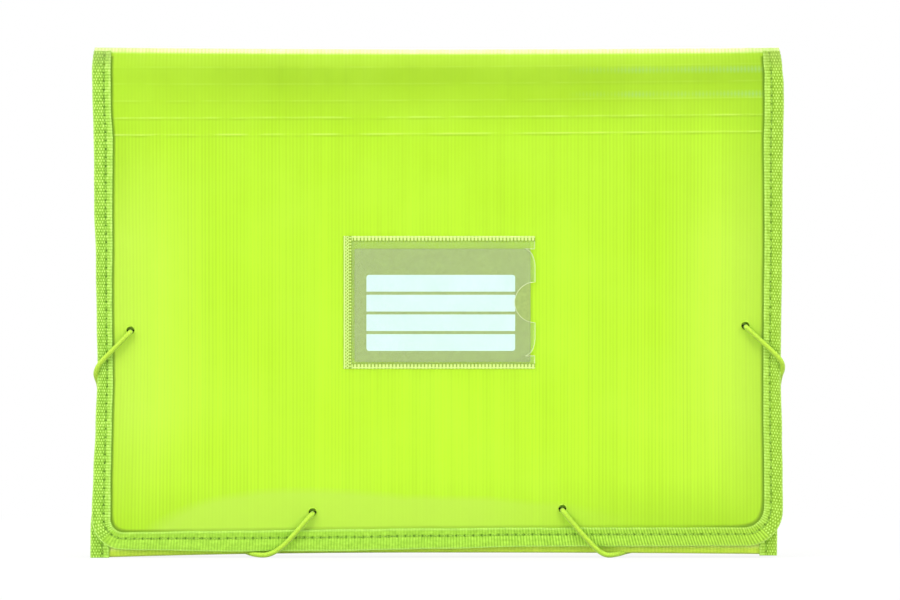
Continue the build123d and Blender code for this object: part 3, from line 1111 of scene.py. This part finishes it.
# The front cover shows only its lower edge: painted shade along its cut edge, then a strip painted
# pale against the shadow of the flap's tape, with a painted highlight line just under that tape
FRONT_TONES = (
    (2.5, "#828450"), (2.95, "#969C54"), (3.2, "#D0E648"), (5.4, "#DEF652"), (6.1, "#F8FCA0"),
    (7.2, "#E0F872"), (9.0, "#D4F64A"), (16.0, "#BEEA28"), (206.0, "#BEEA2C"),
)
SIDE_YARNS = ("#CEF87A", "#9ACA3E", "#72A21C")
BOTTOM_YARNS = ("#B4E24A", "#98C836", "#7EAE26")

flap_sheet = ribbed_polypropylene("ribbed extruded polypropylene, flap", FLAP_TONES, flap=True)
cover_plastic = ribbed_polypropylene("ribbed extruded polypropylene, back cover", COVER_TONES)
front_plastic = ribbed_polypropylene("ribbed extruded polypropylene, front cover", FRONT_TONES)
side_tape = woven_tape(
    "woven polypropylene tape, sides", 0.65, 0.5, (0.1, -0.05), 0.42, *SIDE_YARNS
)
bottom_tape = woven_tape(
    "woven polypropylene tape, bottom", 12.0, 0.1, (0.4, -0.5), 0.3, *BOTTOM_YARNS
)
thread = spun_thread("twisted polyester thread", "#A8D648", "#6C961E")
elastic_sleeve = braided_elastic("braided polyester over rubber", "#BCE430", "#A6CE22")
pocket_plastic = clear_film("calendered clear film, label pocket", "#BCCCA8", 0.1, 0.12)
pocket_backing = clear_film("calendered clear film, dull backing", "#D8EC70", 0.08, 0.12)
pocket_weld = welded_film("clear film, welded in teeth", "#D6EE8C", "#A6C844")
pocket_edge = clear_film("clear film, cut edge", "#E8F4C0", 0.75, 0.12)
card_face = coated_paper("coated card, printed olive grey", "#9CB262", "#90A45A")
card_rows = coated_paper("coated card, white lines", "#D9F9F8", "#D2F4F4")
insert_paper = coated_paper("white tab paper", "#E6E6E0", "#DADAD2", 0.7)
tab_plastic = clear_film("clear moulded plastic, index tabs", "#D6E4CC", 0.35, 0.1)
divider_plastic = plain_polypropylene("thin extruded polypropylene, dividers", "#C6F23C", "#AEE02C")
lip_plastic = plain_polypropylene("punched polypropylene rim", "#CEF648", "#BAE630", 0.2)
gusset_plastic = plain_polypropylene("thin extruded polypropylene, pleats", "#BEEC38", "#A2D428", 0.4)
tip_metal = nickel_plate("nickel-plated steel, crimped", "#ACAAA2")
# The tips' waists, seen in the holes, are painted dark green as shade.
waist_shade_metal = nickel_plate("nickel-plated steel, waist painted as shade", "#2E3E10")


def pocket_floor(back, front, step, unevenness, thickness):
    """The floor of a pocket, from the sheet behind it to just before the next one."""
    columns = between(-FLOOR_HALF, FLOOR_HALF, step)
    top = []
    for y in between(back + 0.02, front + SHEET_GAP, 0.4):
        row = [(x, y, FLOOR_HEIGHT + unevenness * soft_noise(x / 40, y)) for x in columns]
        top.append(row)
    return slab(top, [[(x, y, z - thickness) for x, y, z in row] for row in top])


def add_cover_pieces():
    """The flap's sheet, the back cover and the front cover, all ribbed."""
    rows = [196.0]
    for line in SCORE_LINES[::-1]:
        rows += [line + away for away in CREASE_ROWS]
    rows += [237.5, FOLD_START]
    shape, run, edges = cover_sheet(FLAP_FACE, -1, flap_low, rows, bow, 1.0, creased=True)
    flap = mesh_piece("flap_sheet", shape, [flap_sheet], run, edges=edges)
    punch_holes(flap)
    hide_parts("flap_panel", "spine_panel")
    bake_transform(flap)

    rows = [200.0, 213.0, 226.0, FOLD_START]
    shape, run, edges = cover_sheet(BACK_FACE, 1, dented_low, rows, bite, 5.0)
    floor = pocket_floor(BACK_FACE - SHEET, BELLOWS_BACK - POCKET_GAP, 6.0, 0.1, 0.4)
    run += [(x, y) for x, y, z in floor[0]]
    back = mesh_piece("back_sheet", joined([shape, floor]), [cover_plastic], run)
    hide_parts("back_panel", "spine_panel")
    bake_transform(back)

    rows = [190.0, FRONT_TOP]
    shape, run, edges = cover_sheet(FRONT_FACE, -1, bowed_low, rows, bite, 9.0, folded=False)
    front = mesh_piece("front_sheet", shape, [front_plastic], run)
    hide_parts("front_panel")
    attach(front, "front_cover")


def punch_holes(flap):
    """Cuts the holes that the elastics pass through."""
    bpy.ops.mesh.primitive_cylinder_add(vertices=40, radius=HOLE_RADIUS * MM, depth=6 * MM)
    cutter = bpy.context.object
    cutter.rotation_euler = (math.pi / 2, 0, 0)
    for x, z in ELASTIC_HOLES:
        cutter.location = (x * MM, FLAP_FACE * MM, z * MM)
        cut = flap.modifiers.new("hole", "BOOLEAN")
        cut.object = cutter
        cut.solver = "EXACT"
        mesh = evaluated_mesh(flap)
        flap.modifiers.clear()
        flap.data = mesh
    bpy.data.objects.remove(cutter)


def add_hole_lips():
    """The rim that the punch drew up around each hole, a little thicker towards its upper right."""
    rims = []
    for x, z in ELASTIC_HOLES:
        hole = Vector((x, FLAP_FACE - 0.06, z))
        rings = []
        for step in range(LIP_STEPS):
            turn = 2 * math.pi * step / LIP_STEPS
            size = LIP * (1 + 0.25 * math.cos(turn - 0.6))
            away = Vector((math.sin(turn), 0, math.cos(turn)))
            middle = hole + away * (HOLE_RADIUS + 0.1)
            rings.append(ring(middle, away * size, Vector((0, -size, 0)), LIP_SIDES))
        rims.append(swept(rings, loop=True))
    lips = mesh_piece("hole_lips", joined(rims), [lip_plastic], crease=80.0)
    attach(lips, "flap")


def add_tapes():
    """The sewn tapes of the flap, the back, the top strip's ends and the front cover."""
    stations, bottom = flap_stations(TAPE_STEP)
    tape = sewn_tape("flap_tape", stations, [side_tape, bottom_tape], bottom)
    sewing = stitching("flap_tape_stitches", stations)
    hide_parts("flap_binding")
    for piece in (tape, sewing):
        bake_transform(piece)
    for side, word in SIDE_WORDS.items():
        stations = cover_stations(side, BACK_FACE, 1, FOLD_START, TAPE_STEP, True)
        tape = sewn_tape(f"back_tape_{word}", stations, [side_tape])
        sewing = stitching(f"back_tape_stitches_{word}", stations)
        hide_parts(f"back_binding_{word}")
        for piece in (tape, sewing):
            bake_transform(piece)
        stations = spine_stations(side)
        tape = sewn_tape(f"spine_tape_{word}", stations, [side_tape])
        sewing = stitching(f"spine_tape_stitches_{word}", stations)
        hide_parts("spine_binding")
        for piece in (tape, sewing):
            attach(piece, "top_strip")
        stations = cover_stations(side, FRONT_FACE, -1, FRONT_TOP, FRONT_TAPE_STEP, False)
        tape = sewn_tape(f"front_tape_{word}", stations, [side_tape])
        sewing = stitching(f"front_tape_stitches_{word}", stations)
        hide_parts(f"front_binding_{word}")
        for piece in (tape, sewing):
            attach(piece, "front_cover")


def add_pleats():
    """Each pocket's side pleat: one strip of film, folded inwards between two sheets."""
    for side, word in SIDE_WORDS.items():
        for pocket in range(POCKETS):
            high = BELLOWS_BACK - pocket * POCKET_PITCH
            low = high - POCKET_GAP
            middle = (high + low) / 2
            outer, inner = [], []
            for z in between(GUSSET_LOW, GUSSET_HIGH, (GUSSET_HIGH - GUSSET_LOW) / PLEAT_ROWS):
                outer_x = GUSSET_OUTER - bite(side, z) * 0.8
                crease_x = GUSSET_CREASE + 0.5 * soft_noise(z / 30, pocket * 3.7, side)
                for grid, skin in ((outer, FILM / 2), (inner, -FILM / 2)):
                    row = []
                    for share in PLEAT_SHARES:
                        y = mix(high - FILM_GAP, middle + 0.14, share) - skin
                        row.append((side * mix(outer_x, crease_x, share), y, z))
                    row.append((side * (crease_x - 0.05 + skin), middle, z))
                    for share in PLEAT_SHARES[::-1]:
                        y = mix(low + FILM_GAP, middle - 0.14, share) + skin
                        row.append((side * mix(outer_x, crease_x, share), y, z))
                    grid.append(row)
            name = f"pleat_{word}_{pocket + 1:02d}"
            piece = mesh_piece(name, slab(outer, inner), [gusset_plastic], crease=60.0)
            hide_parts(f"{word}_gusset")
            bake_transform(piece)


# Control points of the elastics. Each goes through the flap, down its face to the
# side edge, across the body's side, over the back's corner and under the bottom to the other
# hole.
ELASTIC_PATHS = {
    "left": (
        (-146.4, -11.8, 107.9), (-146.4, -14.4, 107.9), (-147.1, -16.1, 107.1),
        (-151.5, -16.1, 102.5), (-157.1, -16.0, 97.0), (-160.8, -16.0, 93.2),
        (-162.7, -15.2, 89.8), (-163.1, -13.4, 86.8), (-161.2, -10.4, 82.4),
        (-161.6, 0.0, 67.5), (-162.8, 11.0, 53.6), (-163.2, 15.6, 48.6),
        (-160.0, 16.0, 44.2), (-154.0, 16.0, 37.8), (-125.0, 16.0, 10.0),
        (-118.0, 16.0, 3.4), (-112.4, 14.4, 2.6), (-106.0, 8.0, 3.2),
        (-98.4, 0.0, 3.5), (-92.0, -8.4, 3.1), (-87.4, -13.4, 1.5),
        (-79.8, -16.2, 1.3), (-72.6, -16.2, 6.3), (-66.0, -16.2, 13.7),
        (-60.7, -16.1, 19.8), (-59.4, -14.4, 21.2), (-59.4, -11.8, 21.2),
    ),
    "right": (
        (147.6, -11.8, 110.4), (147.6, -14.4, 110.4), (148.1, -16.1, 109.6),
        (152.6, -16.1, 105.6), (160.2, -16.0, 98.6), (164.2, -16.0, 94.6),
        (165.4, -14.3, 90.6), (163.6, -10.6, 86.0), (162.4, 0.0, 70.5),
        (162.8, 11.0, 54.6), (163.2, 15.6, 49.6), (160.0, 16.0, 45.0),
        (154.0, 16.0, 38.4), (125.0, 16.0, 10.0), (118.0, 16.0, 3.4),
        (112.4, 14.4, 2.6), (106.0, 8.0, 3.2), (98.4, 0.0, 3.6),
        (91.6, -8.4, 3.2), (86.4, -13.4, 1.7), (79.8, -16.2, 1.1),
        (73.8, -16.2, 6.5), (64.8, -16.2, 16.6), (60.8, -16.1, 21.6),
        (59.9, -14.4, 22.8), (59.9, -11.8, 22.8),
    ),
}


def add_elastic(word, path):
    """A round elastic along a smooth spline, which moves with the flap."""
    curve = bpy.data.curves.new(f"elastic_{word}", "CURVE")
    curve.dimensions = "3D"
    spline = curve.splines.new("NURBS")
    spline.points.add(len(path) - 1)
    for point, place in zip(spline.points, path):
        point.co = (*(Vector(place) * MM), 1.0)
    spline.order_u = 3
    spline.use_endpoint_u = True
    curve.resolution_u = 12
    curve.bevel_depth = CORD / 2 * MM
    curve.bevel_resolution = 4
    curve.use_fill_caps = True
    line = linked(f"elastic_{word}", curve)
    mesh = evaluated_mesh(line)
    bpy.data.objects.remove(line)
    mesh.materials.clear()
    mesh.materials.append(elastic_sleeve)
    piece = linked(f"elastic_{word}", mesh)
    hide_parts(f"{word}_elastic")
    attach(piece, "flap")
    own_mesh(piece)


def add_elastic_tips():
    """Crimped metal bars on the ends of the elastics, behind the flap. Their thin waists, seen
    through the holes, are painted dark green as the shade in the holes."""
    tips, slots = [], []
    shares = between(-1.0, 1.0, 0.1)
    for x, z in ELASTIC_HOLES:
        rings = []
        for share in shares:
            round_end = math.sqrt(max(0.0, 1 - max(0.0, (abs(share) - 0.78) / 0.22) ** 2))
            pinch = 1 - 0.22 * bell(abs(share) - 0.45, 0.12)
            pinch *= 1 - 0.72 * bell(share, 0.5, 6)
            high = Vector((0, 0, TIP_WIDTH / 2 * max(0.12, round_end) * pinch))
            deep = Vector((0, (TIP_BACK - TIP_FRONT) / 2 * max(0.2, round_end) * pinch, 0))
            middle = Vector((x + share * TIP_LENGTH / 2, (TIP_BACK + TIP_FRONT) / 2, z))
            rings.append(ring(middle, high, deep, TIP_SIDES))
        tips.append(swept(rings))
        for share in shares[:-1]:
            slots += [int(abs(share + 0.05) < TIP_WAIST)] * TIP_SIDES
        slots += [0, 0]
    metals = [tip_metal, waist_shade_metal]
    piece = mesh_piece("elastic_tips_crimped", joined(tips), metals, None, slots, 60.0)
    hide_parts("elastic_tips")
    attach(piece, "flap")


def pocket_outline():
    """The outline of the pocket's film, with the thumb notch and the mouth's drawn-in corners."""
    middle = (POCKET_LOW + POCKET_HIGH) / 2
    inner_left = POCKET_LEFT + SIDE_WELD
    low = POCKET_LOW + EDGE_WELD
    high = POCKET_HIGH - EDGE_WELD
    lower = [(POCKET_RIGHT - 0.2, low), (POCKET_RIGHT - 0.2, low + MOUTH_LEDGE)]
    lower.append((POCKET_RIGHT - MOUTH_RECESS, low + MOUTH_LEDGE))
    for step in range(1, MOUTH_STEPS + 1):
        turn = math.pi / 2 * step / MOUTH_STEPS
        x = POCKET_RIGHT - MOUTH_RECESS + MOUTH_RECESS * math.sin(turn)
        lower.append((x, low + MOUTH_LEDGE + 0.2 + MOUTH_CORNER * (1 - math.cos(turn))))
    notch = []
    for step in range(NOTCH_STEPS + 1):
        turn = math.pi * step / NOTCH_STEPS
        x = POCKET_RIGHT - NOTCH_RADIUS * math.sin(turn)
        notch.append((x, middle - NOTCH_RADIUS * math.cos(turn)))
    upper = [(x, low + high - z) for x, z in lower[::-1]]
    return [(inner_left, high), (inner_left, low)] + lower + notch + upper


def side_tooth(along, across):
    """The teeth of the left weld: an upright line, a row of crosses and a dotted line."""
    line = bell(across - 0.5, 0.4)
    zigzag = abs((along / ZIGZAG_PITCH) % 2 - 1)
    crosses = max(bell(across - 1.1 - 1.7 * way, 0.4) for way in (zigzag, 1 - zigzag))
    dots = 0.5 + 0.5 * math.cos(2 * math.pi * along / ZIGZAG_PITCH)
    return max(line, 0.8 * crosses, dots * bell(across - 3.4, 0.4))


def edge_tooth(along, outward):
    """The teeth of the top and bottom welds: a line at the rim, then short upright dashes."""
    dash = 1 - (0.5 - 0.5 * math.cos(2 * math.pi * along / TOOTH_PITCH)) ** 3
    return max(bell(outward - 0.5, 0.35), 0.75 * dash * held(1 - (outward - 2.1) / 0.5))


def weld_strip(low, high, kind):
    """A welded strip of the pocket, pressed by a toothed tool, and the depth of its teeth."""
    outer, inner, run = [], [], []
    for z in between(low[1], high[1], WELD_STEP):
        outer_row, inner_row = [], []
        for x in between(low[0], high[0], WELD_STEP):
            if kind == "side":
                tooth = side_tooth(z, x - low[0])
            else:
                tooth = edge_tooth(x, high[1] - z if kind == "top" else z - low[1])
            edge = min(x - low[0], high[0] - x, z - low[1], high[1] - z, 0.3) / 0.3
            rise = (WELD_BASE + WELD_TOOTH * tooth) * (0.5 + 0.5 * edge)
            outer_row.append((x, FLAP_FACE - rise, z))
            inner_row.append((x, FLAP_FACE + WELD_DEPTH, z))
            run.append((x, tooth))
        outer.append(outer_row)
        inner.append(inner_row)
    return slab(outer, inner), run + run


def film_bead():
    """The film's cut edge at its open side, which catches the light as a thin white line."""
    line = pocket_outline()[2:]
    rings = []
    for number, (x, z) in enumerate(line):
        before = line[max(0, number - 1)]
        after = line[min(len(line) - 1, number + 1)]
        way = Vector((after[0] - before[0], 0, after[1] - before[1])).normalized()
        beside = Vector((way.z, 0, -way.x)) * BEAD
        middle = Vector((x, (FILM_BACK + FILM_FRONT) / 2, z))
        rings.append(ring(middle, beside, Vector((0, BEAD, 0)), BEAD_SIDES))
    return swept(rings)


def add_label_pocket():
    """The clear pocket: a film held by welds on three sides, and a dull film behind the card."""
    film = plate(pocket_outline(), FILM_BACK, FILM_FRONT)
    slots = [0, 0] + [1] * (len(film[1]) - 2)
    inner_left = POCKET_LEFT + SIDE_WELD
    strips = (
        ((POCKET_LEFT, POCKET_LOW), (inner_left, POCKET_HIGH), "side"),
        ((inner_left, POCKET_LOW), (POCKET_RIGHT, POCKET_LOW + EDGE_WELD), "bottom"),
        ((inner_left, POCKET_HIGH - EDGE_WELD), (POCKET_RIGHT, POCKET_HIGH), "top"),
    )
    welds, run = [], []
    for strip in strips:
        shape, places = weld_strip(*strip)
        welds.append(shape)
        run += places
    backing = plate(rounded(BACKING_LOW, BACKING_HIGH, 0.6, 0.6), BACKING_BACK, BACKING_FRONT)
    pieces = (
        mesh_piece("label_pocket_film", film, [pocket_plastic, pocket_edge], None, slots),
        mesh_piece("label_pocket_welds", joined(welds), [pocket_weld], run, crease=80.0),
        mesh_piece("label_pocket_edge", film_bead(), [pocket_edge], crease=80.0),
        mesh_piece("label_pocket_backing", backing, [pocket_backing]),
    )
    for piece in pieces:
        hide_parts("label_pocket")
        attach(piece, "flap")


def add_card():
    """The card: a bare header over four white lines to write on."""
    shapes = [plate(rounded(CARD_LOW, CARD_HIGH, 0.8, 0.8), CARD_BACK, CARD_FRONT)]
    slots = [0] * len(shapes[0][1])
    for low, high in ROWS:
        radii = [ROW_CORNER / (1 if row == (low, high) else 6) for row in (ROWS[0], ROWS[-1])]
        outline = rounded((ROW_LEFT, low), (ROW_RIGHT, high), *radii)
        shapes.append(plate(outline, CARD_FRONT + 0.01, CARD_FRONT - ROW_RELIEF))
        slots += [1] * len(shapes[-1][1])
    card = mesh_piece("writing_card", joined(shapes), [card_face, card_rows], None, slots)
    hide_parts("label_card")
    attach(card, "label_card")


def add_dividers():
    """The sheets between the pockets, each with the floor of the pocket in front of it. Their
    sides are drawn in where the elastics bite."""
    for number in range(1, DIVIDERS + 1):
        back = BELLOWS_BACK - POCKET_GAP - (number - 1) * POCKET_PITCH
        front = back - DIVIDER
        next_sheet = front - POCKET_GAP if number < DIVIDERS else FRONT_FACE + SHEET
        outer, inner = [], []
        for grid, y in ((outer, back), (inner, front)):
            for z in between(DIVIDER_LOW, DIVIDER_HIGH, 5.0):
                row = []
                for share in between(-1.0, 1.0, 0.08):
                    side = side_of(share)
                    drawn = bite(side, z) * 0.8 * abs(share) ** 6
                    row.append((share * DIVIDER_HALF - side * drawn, y, z))
                grid.append(row)
        floor = pocket_floor(front, next_sheet, 12.0, 0.0, DIVIDER / 2)
        shape = joined([slab(outer, inner), floor])
        sheet = mesh_piece(f"inner_sheet_{number:02d}", shape, [divider_plastic])
        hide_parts(f"divider_{number:02d}")
        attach(sheet, f"pocket_sheet_{number:02d}")


def dress_tabs():
    """Better materials for the tabs and their papers, whose CAD shapes stay."""
    for name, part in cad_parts.items():
        for start, material in (("index_tab_", tab_plastic), ("tab_insert_", insert_paper)):
            if name.startswith(start):
                for slot in part.material_slots:
                    slot.material = material


def area_lamp(name, place, size, power):
    """A soft box, aimed at the file's middle."""
    light = bpy.data.lights.new(name, "AREA")
    light.shape = "SQUARE"
    light.size = size
    light.energy = power
    lamp = linked(name, light)
    lamp.location = place
    way = Vector((0, 0, 0.12)) - Vector(place)
    lamp.rotation_euler = way.to_track_quat("-Z", "Y").to_euler()


def seen_directly(tree):
    """1 for rays from the camera, and for those that a gloss or a clear film sends on."""
    path = add_node(tree, "LightPath", {}, None)
    seen = 0.0
    for kind in ("Is Camera Ray", "Is Glossy Ray", "Is Transmission Ray"):
        seen = add_node(tree, "Math", {0: seen, 1: path[kind]}, operation="MAXIMUM")
    return seen


def add_studio():
    """White surroundings, a pale floor that keeps the shadow, soft boxes and the camera."""
    world = bpy.data.worlds.new("white studio")
    bpy.context.scene.world = world
    world.use_nodes = True
    tree = world.node_tree
    tree.nodes.clear()
    level = add_node(tree, "MapRange", {0: seen_directly(tree), 3: WORLD_LEVEL, 4: 1.0})
    sky = add_node(tree, "Background", {"Color": (1, 1, 1, 1), "Strength": level})
    add_node(tree, "OutputWorld", {"Surface": sky}, None)

    material, tree, place = new_material("painted white floor")
    roller = noise_share(tree, place, [PAINT_GRAIN] * 3, 2.0)
    bump = add_node(tree, "Bump", {"Strength": 0.05, "Distance": MM, "Height": roller})
    paint = add_node(tree, "BsdfDiffuse", {"Color": linear("#F4F4F2"), "Normal": bump})
    glow = add_node(tree, "Emission", {"Color": (1, 1, 1, 1), "Strength": 1.0})
    reach = add_node(tree, "VectorMath", {0: place}, 1, operation="LENGTH")
    white = faded(tree, reach, *SHADOW_REACH, FLOOR_WHITE_SHARE, 1.0)
    share = product(tree, seen_directly(tree), white)
    mixed = add_node(tree, "MixShader", {0: share, 1: paint, 2: glow})
    add_node(tree, "OutputMaterial", {"Surface": mixed}, None)
    half = STUDIO_HALF
    corners = [(-half, -half, 0), (half, -half, 0), (half, half, 0), (-half, half, 0)]
    floor = mesh_piece("studio_floor", (corners, [(0, 1, 2, 3)]), [material])

    area_lamp("left box", (-1.9, -1.5, 1.1), 1.3, 35)
    area_lamp("right box", (1.9, -1.5, 1.0), 1.3, 25)
    area_lamp("top box", (0, -0.2, 1.6), 1.2, 16)
    area_lamp("back box", (0.6, 1.9, 1.4), 1.4, 18)

    view = bpy.data.cameras.new("photograph view")
    view.sensor_width = SENSOR
    view.lens = SENSOR * CAMERA_DISTANCE / (IMAGE_WIDTH * MM_PER_PIXEL)
    view.clip_end = 100.0
    camera = linked("photograph view", view)
    far = (FLAP_FACE - CAMERA_DISTANCE) * MM
    camera.location = (IMAGE_MIDDLE_X * MM, far, IMAGE_MIDDLE_Z * MM)
    camera.rotation_euler = (math.pi / 2, 0, 0)
    bpy.context.scene.camera = camera
    bpy.context.scene.view_settings.view_transform = "Standard"


add_studio()
add_cover_pieces()
add_tapes()
add_pleats()
for cord_side, cord_path in ELASTIC_PATHS.items():
    add_elastic(cord_side, cord_path)
add_elastic_tips()
add_hole_lips()
add_label_pocket()
add_card()
add_dividers()
dress_tabs()
